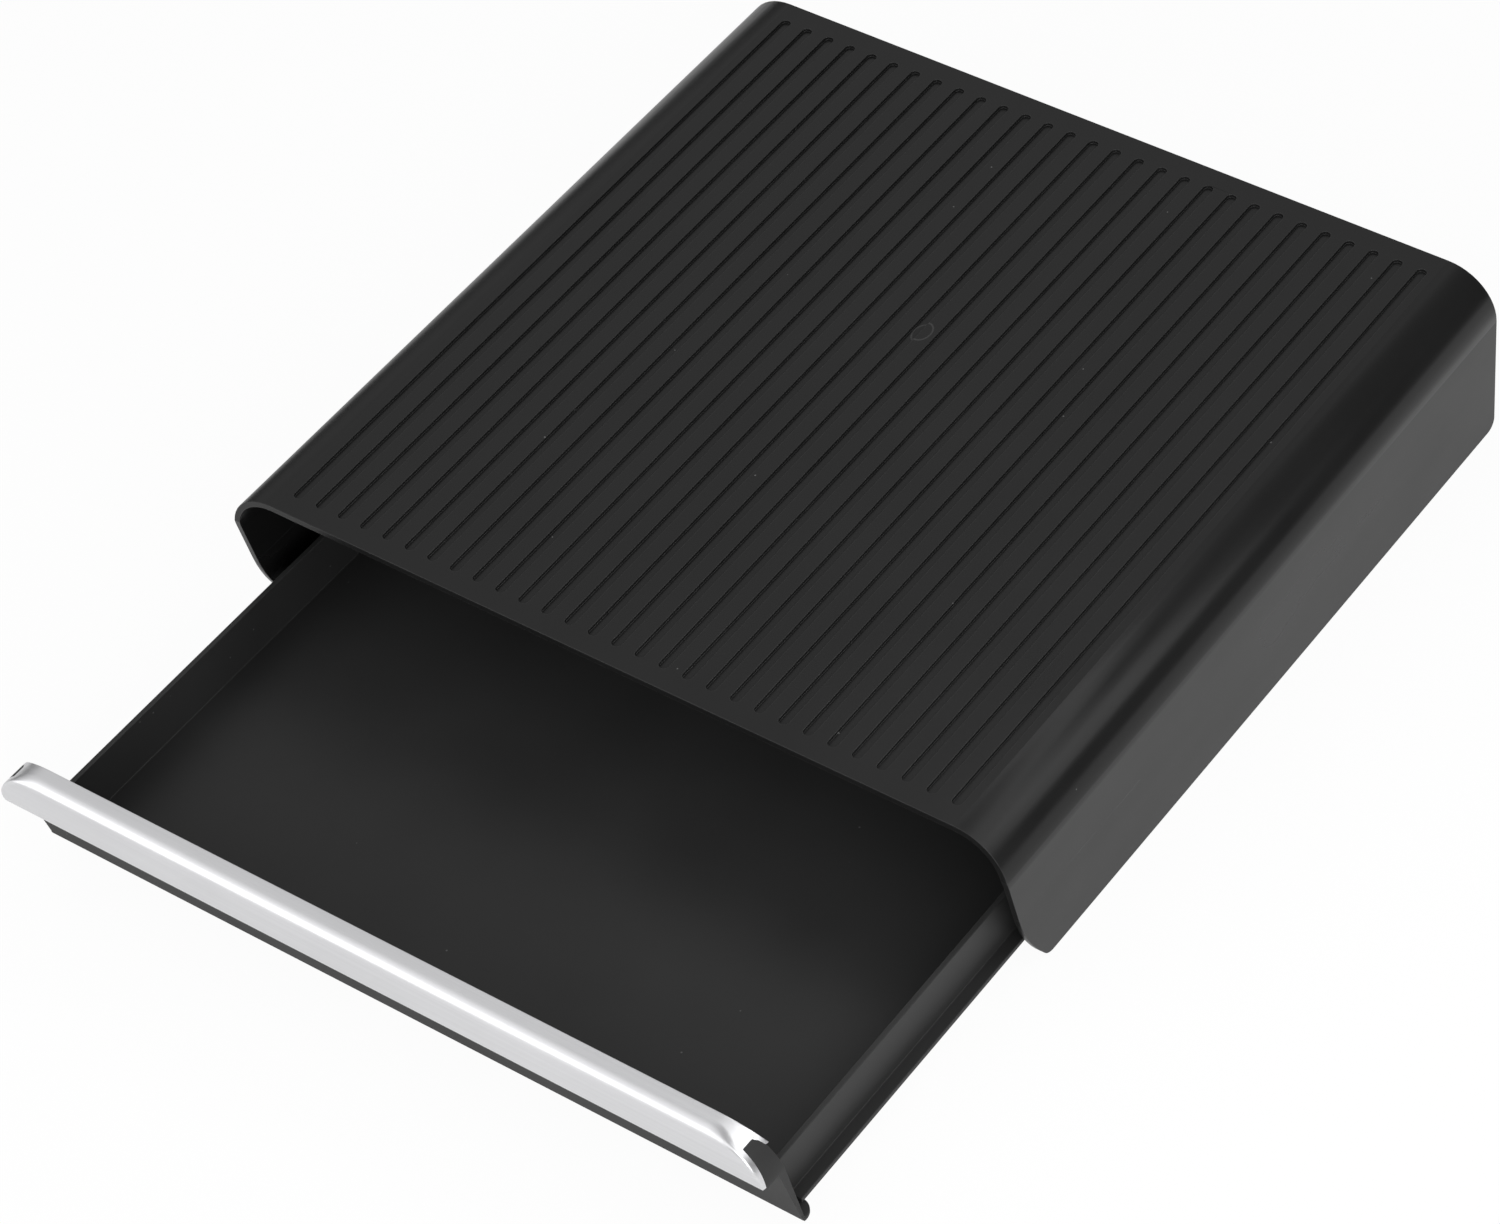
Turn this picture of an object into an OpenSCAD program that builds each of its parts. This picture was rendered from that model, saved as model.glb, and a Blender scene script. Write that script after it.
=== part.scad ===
// Coffee pod drawer. A low moulded cover stands on four feet, and a shallow tray
// with a raked front panel and a full-width handle slides out of it on runners.
// Millimetres: X to the right, Y to the rear, Z up. The origin is on the counter,
// midway along the part with the drawer standing open by drawer_open.

/* [Cover] */
// Width over the side walls
cover_width = 327.1; // [300:0.1:360]
// Depth from the front edge of the top to the back
cover_depth = 314.8; // [300:0.1:360]
// Height from the lower edge to the top
cover_height = 71.7; // [71:0.1:90]
// Thickness of the walls
cover_wall = 2.4; // [1.8:0.1:3]
// Outside radius of the two long shoulders
shoulder_radius = 20; // [14:0.5:24]
// Drop from the top over which the front edge stays upright
upright_drop = 16.7; // [10:0.1:24]
// Drop from the top at which the leaning front edge starts to curve
curve_drop = 40; // [34:0.5:46]
// Lean of the front edge above the curve, in degrees
cover_lean = 12; // [6:0.5:14]
// Radius of the curve in the front edge
edge_curve_radius = 75; // [65:1:100]
// Rounding of the lower front corners
front_corner_radius = 6; // [3:0.5:8]
// Rounding of the lower rear corners
rear_corner_radius = 4.5; // [2:0.5:8]

/* [Grooves in the top] */
// Number of grooves
groove_count = 29; // [9:1:31]
// Width of a groove
groove_width = 3.8; // [2:0.1:5]
// Depth of a groove
groove_depth = 1.2; // [0.6:0.1:1.4]
// Flat strip between a shoulder and the middle of the outermost groove
groove_side_margin = 5.05; // [4:0.05:12]
// Plain strip in front of the grooves
groove_front_margin = 8; // [4:0.5:20]
// Plain strip behind the grooves
groove_rear_margin = 8.5; // [4:0.5:20]

/* [Feet] */
// Diameter of a foot
foot_diameter = 12; // [8:0.5:12.5]
// Height of the cover's lower edge over the counter
foot_stand = 1.5; // [1:0.1:4]
// Chamfer round the lower face of a foot
foot_chamfer = 0.6; // [0.2:0.1:1]
// Distance from the end of a runner to the middle of the nearest foot
foot_inset = 14; // [8:1:40]

/* [Runners and guides] */
// Width of a runner, from the cover's wall inwards
runner_width = 13.15; // [12.75:0.05:16]
// Thickness of a runner
runner_thickness = 2.2; // [1.6:0.1:3]
// Height of a runner's underside over the cover's lower edge
runner_lift = 1.1; // [0.5:0.1:2]
// Distance of the runners behind the cover's front edge
runner_setback = 26; // [24:0.5:40]
// Thickness of a guide
guide_thickness = 2; // [1.4:0.1:3]
// Length of a stop block
stop_length = 6; // [4:0.5:10]
// Running clearance over the runners and under the guides
slide_gap = 0.3; // [0.2:0.05:0.6]
// Running clearance beside the tray and its slides
side_gap = 1.2; // [0.8:0.05:1.5]

/* [Travel] */
// How far the drawer stands open
drawer_open = 130; // [0:1:235]
// Whole travel, from shut to the stops
drawer_travel = 240; // [200:1:250]
// How far the handle stands in front of the cover when shut
handle_ahead = 5.2; // [3:0.1:8]
// Space left behind the tray when shut
shut_gap = 1.6; // [1:0.1:10]

/* [Tray] */
// Space between the cover's wall and the tray's wall
tray_side_space = 9.15; // [8.5:0.05:12]
// Height of the tray's walls
tray_height = 25.1; // [20:0.1:40]
// Thickness of the tray's walls
tray_wall = 2; // [1.4:0.1:2.4]
// Thickness of the tray's floor
tray_floor = 2; // [1.4:0.1:3]
// Outside radius of the tray's rear corners
tray_corner_radius = 4; // [3:0.5:10]
// Width of a slide, the flange along a side wall
slide_width = 4.7; // [4:0.1:5.5]
// Thickness of a slide
slide_thickness = 2; // [1.4:0.1:3]
// Height of a slide's underside over the tray's lower edge
slide_lift = 3; // [2.4:0.1:6]
// Distance of a slide's front end behind the panel's lower edge
slide_setback = 4; // [3:0.5:20]
// Length of a stop lug at the rear of a slide
lug_length = 12; // [6:0.5:20]

/* [Front panel] */
// Clearance between the panel and the cover's side walls
panel_side_gap = 1.4; // [0.8:0.05:2]
// Height of the panel with its handle
panel_height = 52.7; // [50:0.1:56]
// Radius of the panel's upper corners
panel_radius = 20; // [14:0.5:24]
// Lean of the panel's front face, in degrees
panel_lean = 15; // [12:0.5:17]
// Lean of the panel's rear face, in degrees
panel_back_lean = 11.5; // [9:0.5:12]
// Thickness of the panel at its lower edge
panel_foot_thickness = 1.2; // [1:0.1:2.5]
// Thickness of the ledge along the lower edge
ledge_thickness = 1.6; // [1:0.1:1.6]
// Depth of the ledge from the panel's lower edge to the rear
ledge_depth = 6.6; // [6:0.1:8]
// Radius of the ledge's outer corners
ledge_corner_radius = 5.4; // [4:0.1:6]
// How far the ledge's corners stand out beside the panel
ledge_overhang = 0.6; // [0:0.1:0.8]

/* [Handle] */
// Height of the handle's lower edge over the panel's lower edge
handle_underside = 33.1; // [28:0.1:38]
// Distance from the panel's lower edge forward to the handle's nose
nose_reach = 18.5; // [17.5:0.1:20]
// Radius of the handle's bulging front face
nose_radius = 19.3; // [17:0.1:30]
// Radius between the trim's flat top and its front face
brow_radius = 4; // [2:0.5:4.5]
// Greatest thickness of the trim at the nose
nose_thickness = 2.8; // [2.6:0.1:4]
// How far the nose lies below the middle of the trim's front face
nose_drop = 1.25; // [0:0.05:2.5]
// How far the trim's outline draws in from its back to its nose
nose_taper = 1.3; // [0.5:0.1:2]
// Thickness of the trim where it wraps over the top
cap_thickness = 1.5; // [1:0.1:2]
// Chamfer inside the trim, under the rounding between its top and front
core_chamfer = 1.2; // [0.8:0.1:2]
// Distance from the panel's side inwards to the end of the wrapped top
cap_end_inset = 7.75; // [6:0.05:12]
// Rounding of the trim's rear top edge
lip_radius = 1.5; // [0.8:0.1:2]
// Lean of the lip at the rear of the trim, in degrees
lip_lean = 22; // [18:0.5:26]
// Lean of the inner edge of the lip, in degrees
lip_inner_lean = 28; // [26.5:0.5:32]
// Width of the lip at the end of the wrapped top
lip_width = 2; // [1.5:0.1:2.5]
// Drop from the panel's top to the tip of the lip
lip_drop = 6.8; // [6:0.1:9]
// Wall in front of the channel in the handle's underside
channel_wall = 1.8; // [1.4:0.1:2.4]
// Step between the panel's front face and the channel
channel_step = 0.6; // [0.4:0.1:1]
// Distance of the channel's roof below the line where its two walls would meet
channel_cover = 3; // [2:0.5:6]
// Number of ribs across the channel
channel_ribs = 5; // [3:1:9]
// Thickness of a channel rib
rib_thickness = 1.6; // [1:0.1:2.4]

/* [Snap hooks] */
// Number of hooks that hold the panel to the tray
hook_count = 4; // [2:1:6]
// Width of a hook
hook_width = 12; // [8:0.5:20]
// Thickness of a hook's stem
hook_thickness = 1.4; // [1:0.1:2]
// Height of a hook's barb over its stem
barb_height = 1.2; // [0.8:0.1:1.6]
// Height of the hooks over the panel's lower edge
hook_level = 14; // [10:0.5:16]
// Clearance between the panel, its hooks and the tray
hook_gap = 0.2; // [0.1:0.05:0.4]

/* [Hidden] */

$fn = 64;
plastic_black = [0.10, 0.10, 0.105];
trim_silver = [0.78, 0.78, 0.80];
rubber_black = [0.06, 0.06, 0.06];
cut = 1;

// Cover, from the counter up and from the back forward
total_depth = cover_depth + handle_ahead + drawer_open;
cover_rear_y = total_depth / 2;
cover_front_y = cover_rear_y - cover_depth;
cover_bottom_z = foot_stand;
inner_half_width = cover_width / 2 - cover_wall;
inner_rear_y = cover_rear_y - cover_wall;

// Front edge of the cover in side view, from its lower front corner
curve_start = [tan(cover_lean) * (curve_drop - upright_drop), cover_height - curve_drop];
curve_centre = curve_start + edge_curve_radius * [cos(cover_lean), sin(cover_lean)];
corner_reach = edge_curve_radius - front_corner_radius;
corner_centre = [
  curve_centre[0] - sqrt(pow(corner_reach, 2) - pow(curve_centre[1] - front_corner_radius, 2)),
  front_corner_radius
];
corner_start = curve_centre + (corner_centre - curve_centre) * edge_curve_radius / corner_reach;

// Grooves
groove_edge_x = cover_width / 2 - shoulder_radius - groove_side_margin;
groove_pitch = 2 * groove_edge_x / (groove_count - 1);
groove_front_y = cover_front_y + groove_front_margin + groove_width / 2;
groove_rear_y = cover_rear_y - groove_rear_margin - groove_width / 2;

// Runners, guides and stops
runner_z = cover_bottom_z + runner_lift;
runner_front_y = cover_front_y + runner_setback;
drawer_z = runner_z + runner_thickness + slide_gap;
slide_z = drawer_z + slide_lift;
guide_z = slide_z + slide_thickness + slide_gap;
tray_half_width = inner_half_width - tray_side_space;
slide_half_width = tray_half_width + slide_width;

// Drawer, from the back forward
tray_rear_y = inner_rear_y - shut_gap - drawer_open;
lug_front_y = tray_rear_y - lug_length;
stop_rear_y = lug_front_y + drawer_open - drawer_travel - slide_gap;
nose_y = -total_depth / 2;
panel_y = nose_y + nose_reach;
floor_lift = ledge_thickness + hook_gap;
floor_top = floor_lift + tray_floor;

// Front panel and handle, from the panel's lower front edge
panel_half_width = inner_half_width - panel_side_gap;
trim_back = nose_thickness - nose_reach;
nose_height = (handle_underside + panel_height) / 2 - nose_drop;
nose_centre = [nose_radius - nose_reach, nose_height];
brow_height = panel_height - brow_radius;
brow_centre = [
  nose_centre[0] - sqrt(pow(nose_radius - brow_radius, 2) - pow(brow_height - nose_height, 2)),
  brow_height
];
brow_start = nose_centre + (brow_centre - nose_centre) * nose_radius / (nose_radius - brow_radius);
core_height = panel_height - cap_thickness;
cap_end_x = panel_half_width - cap_end_inset;
lip_rear = panel_foot_thickness - tan(panel_back_lean) * panel_height;
lip_inner_height = panel_height - lip_drop / 2;
lip_inner = lip_rear + tan(lip_lean) * lip_drop / 2 - lip_width;
channel_front = trim_back + channel_wall;
channel_half_width = panel_half_width - panel_radius;

module mirrored() {
  for (side = [0, 1]) {
    mirror([side, 0, 0]) children();
  }
}

// A side view (Y to the rear, Z up) drawn out across the whole width
module across(half_width) {
  translate([-half_width, 0, 0])
    rotate([90, 0, 90])
      linear_extrude(2 * half_width)
        children();
}

// A front view drawn out from front_y to rear_y
module along(front_y, rear_y) {
  translate([0, rear_y, 0])
    rotate([90, 0, 0])
      linear_extrude(rear_y - front_y)
        children();
}

// Front view of a panel or shell with two rounded upper corners
module arch(half_width, height, radius) {
  translate([-half_width, 0])
    square([2 * half_width, height - radius]);
  translate([radius - half_width, 0])
    square([2 * (half_width - radius), height]);
  for (side = [-1, 1]) {
    translate([side * (half_width - radius), height - radius])
      circle(r = radius);
  }
}

// Side view of the cover: upright, then leaning, then curving in to the corner
module cover_side() {
  polygon([
    [0, cover_height],
    [0, cover_height - upright_drop],
    curve_start,
    [curve_centre[0], curve_start[1]],
    [curve_centre[0], cover_height]
  ]);
  intersection() {
    translate(curve_centre) circle(r = edge_curve_radius, $fn = 180);
    translate([0, corner_start[1]])
      square([curve_centre[0], curve_start[1] - corner_start[1]]);
  }
  polygon([
    corner_start,
    corner_centre,
    [corner_centre[0], 0],
    [curve_centre[0], 0],
    [curve_centre[0], corner_start[1]]
  ]);
  translate(corner_centre) circle(r = front_corner_radius);
  translate([curve_centre[0], rear_corner_radius])
    square([cover_depth - curve_centre[0], cover_height - rear_corner_radius]);
  translate([curve_centre[0], 0])
    square([cover_depth - curve_centre[0] - rear_corner_radius, cover_height]);
  translate([cover_depth - rear_corner_radius, rear_corner_radius])
    circle(r = rear_corner_radius);
}

module groove() {
  length = groove_rear_y - groove_front_y;
  translate([-groove_width / 2, 0, 0])
    cube([groove_width, length, groove_depth + cut]);
  for (y = [0, length]) {
    translate([0, y, 0]) cylinder(d = groove_width, h = groove_depth + cut, $fn = 16);
  }
}

// Runner below, guide above and stop block between them, on the right-hand wall
module slide_rail() {
  translate([inner_half_width - runner_width, runner_front_y, runner_z])
    cube([runner_width + cover_wall / 2, inner_rear_y - runner_front_y + cut, runner_thickness]);
  translate([tray_half_width + side_gap, runner_front_y, guide_z])
    cube([
      tray_side_space - side_gap + cover_wall / 2,
      inner_rear_y - runner_front_y + cut,
      guide_thickness
    ]);
  translate([slide_half_width + side_gap, stop_rear_y - stop_length, runner_z])
    cube([
      inner_half_width - slide_half_width - side_gap + cover_wall / 2,
      stop_length,
      guide_z - runner_z + cut
    ]);
}

module cover_shell() {
  color(plastic_black)
  union() {
    difference() {
      translate([0, 0, cover_bottom_z])
        intersection() {
          along(cover_front_y, cover_rear_y)
            arch(cover_width / 2, cover_height, shoulder_radius);
          translate([0, cover_front_y, 0])
            across(cover_width / 2) cover_side();
        }
      translate([0, 0, cover_bottom_z - cut])
        along(cover_front_y - cut, inner_rear_y)
          arch(inner_half_width, cover_height - cover_wall + cut, shoulder_radius - cover_wall);
      for (i = [0 : groove_count - 1]) {
        translate([
          i * groove_pitch - groove_edge_x,
          groove_front_y,
          cover_bottom_z + cover_height - groove_depth
        ])
          groove();
      }
    }
    mirrored() slide_rail();
  }
}

module foot(side, y) {
  color(rubber_black)
  translate([side * (inner_half_width - runner_width / 2), y, 0]) {
    cylinder(d1 = foot_diameter - 2 * foot_chamfer, d2 = foot_diameter, h = foot_chamfer);
    translate([0, 0, foot_chamfer])
      cylinder(d = foot_diameter, h = runner_z - foot_chamfer);
  }
}

module foot_front_left() {
  foot(-1, runner_front_y + foot_inset);
}

module foot_front_right() {
  foot(1, runner_front_y + foot_inset);
}

module foot_rear_left() {
  foot(-1, inner_rear_y - foot_inset);
}

module foot_rear_right() {
  foot(1, inner_rear_y - foot_inset);
}

// All that lies behind the panel's rear face by the given distance
module behind_panel(distance) {
  face = panel_foot_thickness + distance / cos(panel_back_lean);
  drop = cut * tan(panel_back_lean);
  rear = tray_rear_y - panel_y + cut;
  across(panel_half_width)
    polygon([
      [face + drop, -cut],
      [face - tan(panel_back_lean) * panel_height, panel_height],
      [rear, panel_height],
      [rear, -cut]
    ]);
}

// The tray's outline from above, drawn in by the given inset
module tray_plan(inset) {
  radius = tray_corner_radius - inset;
  half = tray_half_width - inset;
  front = panel_y - panel_height;
  rear = tray_rear_y - inset;
  translate([-half, front]) square([2 * half, rear - radius - front]);
  translate([radius - half, front]) square([2 * (half - radius), rear - front]);
  for (side = [-1, 1]) {
    translate([side * (half - radius), rear - radius]) circle(r = radius, $fn = 32);
  }
}

// Places children on each hook: X across, Y square to the panel's rear face
module at_hooks() {
  spacing = 2 * tray_half_width / hook_count;
  for (i = [0 : hook_count - 1]) {
    translate([
      (i + 0.5) * spacing - tray_half_width,
      panel_y + panel_foot_thickness - tan(panel_back_lean) * hook_level,
      drawer_z + hook_level
    ])
      rotate([panel_back_lean, 0, 0])
        children();
  }
}

// Flange along the right-hand wall, with the lug at its rear that meets the stop
module slide() {
  front_y = panel_y + slide_setback;
  rear_y = tray_rear_y - tray_corner_radius;
  translate([tray_half_width - tray_wall / 2, front_y, slide_z])
    cube([tray_wall / 2 + slide_width, rear_y - front_y, slide_thickness]);
  translate([tray_half_width - tray_wall / 2, lug_front_y, slide_z])
    cube([
      tray_wall / 2 + tray_side_space - side_gap,
      rear_y - lug_front_y,
      slide_thickness
    ]);
}

module drawer_tray() {
  color(plastic_black)
  difference() {
    union() {
      intersection() {
        translate([0, panel_y, drawer_z]) behind_panel(hook_gap);
        translate([0, 0, drawer_z]) linear_extrude(tray_height) tray_plan(0);
      }
      mirrored() slide();
    }
    intersection() {
      translate([0, panel_y, drawer_z]) behind_panel(hook_gap + tray_wall);
      translate([0, 0, drawer_z + floor_top]) linear_extrude(tray_height) tray_plan(tray_wall);
    }
    intersection() {
      translate([0, panel_y, drawer_z]) behind_panel(hook_gap + tray_wall);
      translate([0, 0, drawer_z - cut]) linear_extrude(floor_lift + cut) tray_plan(tray_wall);
    }
    translate([-tray_half_width - cut, panel_y - cut, drawer_z - cut])
      cube([2 * (tray_half_width + cut), cut + ledge_depth + hook_gap, cut + floor_lift]);
    at_hooks()
      translate([-hook_width / 2 - hook_gap, 0, -hook_gap])
        cube([
          hook_width + 2 * hook_gap,
          tray_wall + hook_gap + cut,
          hook_thickness + barb_height + 2 * hook_gap
        ]);
  }
}

// Stem through the tray's front wall, with a barb behind the wall
module snap_hook() {
  stem = hook_gap + tray_wall + hook_gap;
  translate([-hook_width / 2, -panel_foot_thickness / 2, 0])
    cube([hook_width, panel_foot_thickness / 2 + stem + hook_thickness, hook_thickness]);
  translate([-hook_width / 2, stem, 0])
    cube([hook_width, hook_thickness, hook_thickness + barb_height]);
}

// Lower ledge from above, with a straight front edge and rounded rear corners
module ledge_plan() {
  centre_x = panel_half_width + ledge_overhang - ledge_corner_radius;
  translate([-centre_x, 0]) square([2 * centre_x, ledge_depth]);
  intersection() {
    translate([-cover_width / 2, 0]) square([cover_width, ledge_depth]);
    for (side = [-1, 1]) {
      translate([side * centre_x, ledge_depth - ledge_corner_radius])
        circle(r = ledge_corner_radius);
    }
  }
}

// Room left inside the trim for the panel's core
module core_zone(front_y) {
  chamfer_y = trim_back + core_chamfer;
  intersection() {
    along(front_y, ledge_depth + cut)
      arch(panel_half_width - cap_thickness, core_height, panel_radius - cap_thickness);
    across(panel_half_width)
      polygon([
        [front_y - cut, -cut],
        [front_y - cut, core_height - (chamfer_y - front_y + cut)],
        [chamfer_y, core_height],
        [chamfer_y, panel_height],
        [ledge_depth + 2 * cut, panel_height],
        [ledge_depth + 2 * cut, -cut]
      ]);
  }
}

// The wrapped top of the trim and its lip, as the shell that the panel leaves free
module cap_zone(front_y) {
  difference() {
    union() {
      translate([-cap_end_x, front_y, handle_underside])
        cube([2 * cap_end_x, ledge_depth - front_y, panel_height]);
      across(panel_half_width + cut)
        polygon([
          [lip_inner - tan(lip_inner_lean) * lip_drop, panel_height + lip_drop / 2],
          [lip_inner + tan(lip_inner_lean) * lip_drop / 2, panel_height - lip_drop],
          [ledge_depth, panel_height - lip_drop],
          [ledge_depth, panel_height + lip_drop / 2]
        ]);
    }
    core_zone(front_y - cut);
  }
}

// Side view of the panel: a leaning plate that grows into the handle's core
module panel_side() {
  polygon([
    [0, 0],
    [panel_foot_thickness, 0],
    [lip_rear, panel_height],
    [trim_back, panel_height],
    [trim_back, handle_underside],
    [-tan(panel_lean) * handle_underside, handle_underside]
  ]);
}

// Side view of the channel between the handle's front wall and the leaning plate
module channel_side() {
  low = handle_underside - cut;
  top = -channel_front / tan(panel_lean) - channel_cover;
  polygon([
    [channel_front, low],
    [-tan(panel_lean) * low - channel_step, low],
    [-tan(panel_lean) * top - channel_step, top],
    [channel_front, top]
  ]);
}

module front_panel() {
  color(plastic_black)
  translate([0, panel_y, drawer_z]) {
    difference() {
      intersection() {
        across(panel_half_width) panel_side();
        along(-nose_reach, panel_foot_thickness + cut)
          arch(panel_half_width, panel_height, panel_radius);
      }
      cap_zone(-nose_reach);
      difference() {
        across(channel_half_width) channel_side();
        for (i = [1 : channel_ribs]) {
          translate([
            (2 * i / (channel_ribs + 1) - 1) * channel_half_width - rib_thickness / 2,
            -nose_reach,
            0
          ])
            cube([rib_thickness, nose_reach, panel_height]);
        }
      }
    }
    linear_extrude(ledge_thickness) ledge_plan();
  }
  color(plastic_black) at_hooks() snap_hook();
}

// Side view of the trim: bulging front face, rounded brow, flat top, lip at the rear
module trim_side() {
  rear_low = lip_rear + tan(lip_lean) * lip_drop;
  rear_high = lip_rear + tan(lip_lean) * (panel_height - brow_start[1]);
  round_y = lip_rear - lip_radius;
  intersection() {
    translate(nose_centre) circle(r = nose_radius, $fn = 128);
    polygon([
      [-nose_reach - cut, handle_underside],
      [rear_low, handle_underside],
      [rear_low, panel_height - lip_drop],
      [rear_high, brow_start[1]],
      [-nose_reach - cut, brow_start[1]]
    ]);
  }
  translate(brow_centre) circle(r = brow_radius);
  polygon([
    [brow_centre[0], brow_start[1]],
    [rear_high, brow_start[1]],
    [lip_rear + tan(lip_lean) * lip_radius, panel_height - lip_radius],
    [round_y, panel_height - lip_radius],
    [round_y, panel_height],
    [brow_centre[0], panel_height]
  ]);
  translate([round_y, panel_height - lip_radius]) circle(r = lip_radius, $fn = 32);
}

// Room for the trim's front, whose outline draws in towards the nose
module nose_zone() {
  centre_x = panel_half_width - panel_radius;
  centre_h = panel_height - panel_radius;
  across(centre_x)
    polygon([
      [trim_back, centre_h],
      [trim_back, panel_height],
      [-nose_reach, panel_height - nose_taper],
      [-nose_reach, centre_h]
    ]);
  for (side = [-1, 1]) {
    translate([side * centre_x, -nose_reach, centre_h])
      rotate([-90, 0, 0])
        cylinder(r1 = panel_radius - nose_taper, r2 = panel_radius, h = nose_thickness, $fn = 128);
  }
}

module handle_trim() {
  color(trim_silver)
  translate([0, panel_y, drawer_z])
    intersection() {
      across(panel_half_width) trim_side();
      union() {
        nose_zone();
        intersection() {
          cap_zone(trim_back);
          along(trim_back, ledge_depth)
            arch(panel_half_width, panel_height, panel_radius);
        }
      }
    }
}

cover_shell();
foot_front_left();
foot_front_right();
foot_rear_left();
foot_rear_right();
drawer_tray();
front_panel();
handle_trim();
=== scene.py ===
"""Looks for the coffee pod drawer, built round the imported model."""

import logging
import math
from dataclasses import dataclass
from enum import Enum
from typing import NamedTuple, Union

import bmesh
import bpy
from mathutils import Matrix, Quaternion, Vector


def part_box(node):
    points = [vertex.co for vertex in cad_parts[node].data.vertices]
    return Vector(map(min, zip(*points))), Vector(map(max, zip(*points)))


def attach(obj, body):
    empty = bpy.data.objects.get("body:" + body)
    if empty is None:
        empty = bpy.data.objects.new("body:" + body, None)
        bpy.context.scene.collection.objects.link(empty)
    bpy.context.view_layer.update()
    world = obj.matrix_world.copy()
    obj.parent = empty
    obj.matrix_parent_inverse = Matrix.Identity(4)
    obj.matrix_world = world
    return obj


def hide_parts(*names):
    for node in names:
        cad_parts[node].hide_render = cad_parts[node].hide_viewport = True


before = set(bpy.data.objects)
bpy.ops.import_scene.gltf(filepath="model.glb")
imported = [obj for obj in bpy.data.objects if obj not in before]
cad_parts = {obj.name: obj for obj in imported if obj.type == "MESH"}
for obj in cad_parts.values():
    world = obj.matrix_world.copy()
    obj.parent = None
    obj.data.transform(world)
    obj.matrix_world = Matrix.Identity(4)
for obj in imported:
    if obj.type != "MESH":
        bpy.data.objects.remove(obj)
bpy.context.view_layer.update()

MM = 0.001
LOG = logging.getLogger("pod_drawer")

NOISE_MEAN = 0.5
EDGE_SAMPLES = 6
EDGE_STARTS = 0.995
EDGE_FULL = 0.86

Point = tuple[float, float, float]
Colour = tuple[float, float, float, float]
Operand = Union["Signal", float]
Feed = Union["Signal", bpy.types.NodeSocket, float, tuple[float, ...]]


class Body(Enum):
    """The two CAD bodies."""

    COVER = "cover"
    DRAWER = "drawer"


class Slot(Enum):
    """The record's material slots."""

    PLASTIC = "black_plastic"
    TRIM = "silver_trim"
    RUBBER = "foot_rubber"


# ---------------------------------------------------------------- shader maths


class Signal:
    """A number that varies over a surface, so that shader maths reads as Python."""

    def __init__(self, nodes: "Nodes", socket: bpy.types.NodeSocket) -> None:
        """Wraps one output socket of a node in a tree."""
        self.nodes = nodes
        self.socket = socket

    def _math(self, operation: str, left: Operand, right: Operand) -> "Signal":
        """Returns the Math node's result for two operands."""
        return self.nodes.math(operation, left, right)

    def __add__(self, other: Operand) -> "Signal":
        """Sum."""
        return self._math("ADD", self, other)

    def __radd__(self, other: Operand) -> "Signal":
        """Sum with the number on the left."""
        return self._math("ADD", other, self)

    def __sub__(self, other: Operand) -> "Signal":
        """Difference."""
        return self._math("SUBTRACT", self, other)

    def __rsub__(self, other: Operand) -> "Signal":
        """Difference with the number on the left."""
        return self._math("SUBTRACT", other, self)

    def __mul__(self, other: Operand) -> "Signal":
        """Product."""
        return self._math("MULTIPLY", self, other)

    def __rmul__(self, other: Operand) -> "Signal":
        """Product with the number on the left."""
        return self._math("MULTIPLY", other, self)

    def __truediv__(self, other: Operand) -> "Signal":
        """Quotient."""
        return self._math("DIVIDE", self, other)

    def __rtruediv__(self, other: Operand) -> "Signal":
        """Quotient with the number on the left."""
        return self._math("DIVIDE", other, self)

    def __pow__(self, other: Operand) -> "Signal":
        """Power."""
        return self._math("POWER", self, other)

    def __rpow__(self, other: Operand) -> "Signal":
        """Power with the number as the base."""
        return self._math("POWER", other, self)

    def __gt__(self, other: Operand) -> "Signal":
        """One where this is greater, else zero."""
        return self._math("GREATER_THAN", self, other)

    def __lt__(self, other: Operand) -> "Signal":
        """One where this is less, else zero."""
        return self._math("LESS_THAN", self, other)

    def ramp(self, low: float, high: float) -> "Signal":
        """Rises smoothly from 0 at low to 1 at high.

        Args:
            low: the value that gives 0.
            high: the value that gives 1; it may be the lesser one.

        Returns:
            The clamped, smoothed signal.
        """
        return self.nodes.signal(
            "ShaderNodeMapRange",
            {"interpolation_type": "SMOOTHSTEP"},
            {"Value": self, "From Min": low, "From Max": high},
        )

    def swing(self, amount: float) -> "Signal":
        """Returns this noise less its mean, scaled by an amount."""
        return (self - NOISE_MEAN) * amount


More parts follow.
